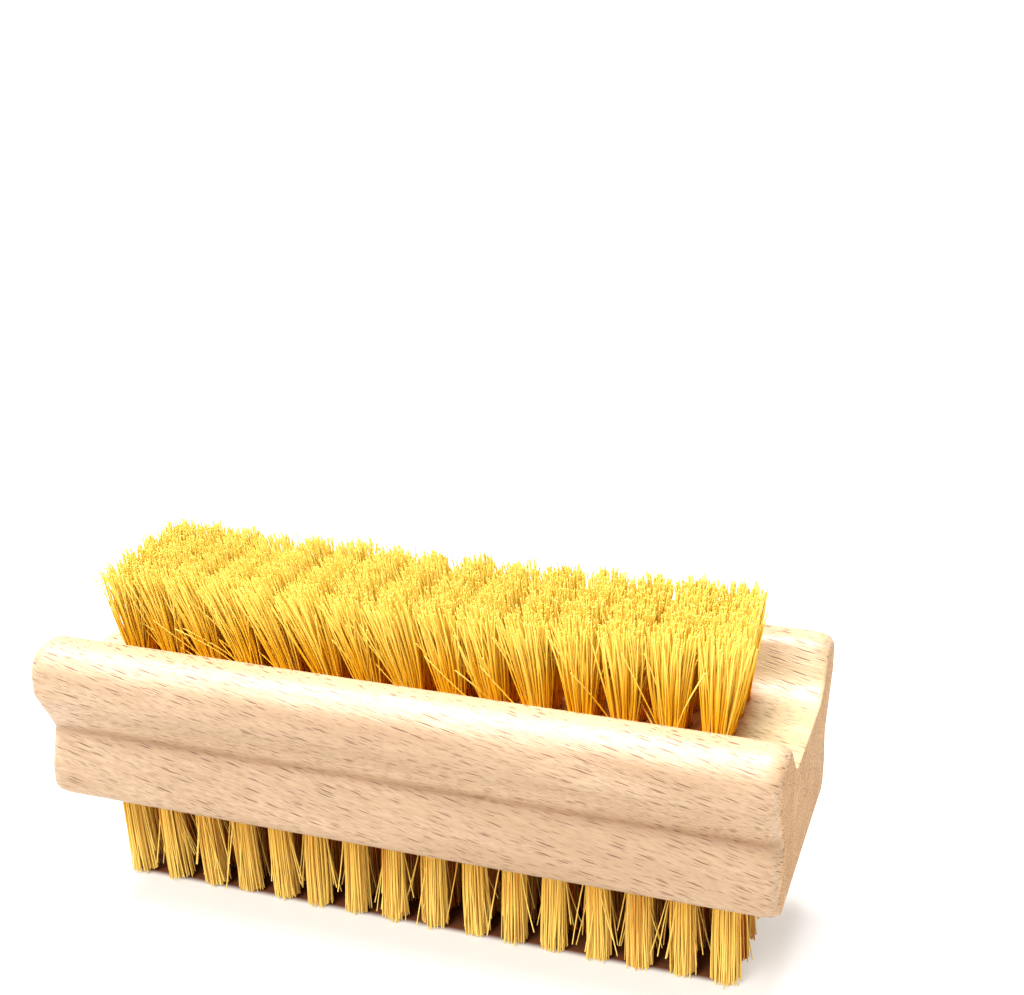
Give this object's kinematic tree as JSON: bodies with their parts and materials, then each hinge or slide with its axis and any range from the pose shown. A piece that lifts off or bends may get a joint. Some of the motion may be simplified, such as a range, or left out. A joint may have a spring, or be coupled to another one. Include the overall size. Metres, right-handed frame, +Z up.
{
  "type": "double-sided nail brush",
  "caption": "Double-sided wooden nail brush: a moulded beech block with a dished top, round lips and finger coves, and stiff bristle tufts punched into its top and underside.",
  "frame": {"origin": "centre of the bounding box's bottom, on the surface that the brush stands on with its under bristles", "axes": "+X along the block, +Y across it, +Z up through the dished upper face"},
  "size_m": [0.0958, 0.041, 0.0472],
  "materials": {
    "beech": "raw beech, sanded, unvarnished",
    "bristle": "stiff yellow plant fibre"
  },
  "bodies": {
    "root": {"block": "beech", "upper_tufts_01": "bristle", "upper_tufts_02": "bristle", "upper_tufts_03": "bristle", "upper_tufts_04": "bristle", "upper_tufts_05": "bristle", "upper_tufts_06": "bristle", "upper_tufts_07": "bristle", "upper_tufts_08": "bristle", "upper_tufts_09": "bristle", "upper_tufts_10": "bristle", "upper_tufts_11": "bristle", "upper_tufts_12": "bristle", "upper_tufts_13": "bristle", "upper_tufts_14": "bristle", "upper_tufts_15": "bristle", "under_tufts_01": "bristle", "under_tufts_02": "bristle", "under_tufts_03": "bristle", "under_tufts_04": "bristle", "under_tufts_05": "bristle", "under_tufts_06": "bristle", "under_tufts_07": "bristle", "under_tufts_08": "bristle", "under_tufts_09": "bristle", "under_tufts_10": "bristle", "under_tufts_11": "bristle", "under_tufts_12": "bristle", "under_tufts_13": "bristle", "under_tufts_14": "bristle", "under_tufts_15": "bristle", "under_tufts_16": "bristle"}
  },
  "joints": []
}
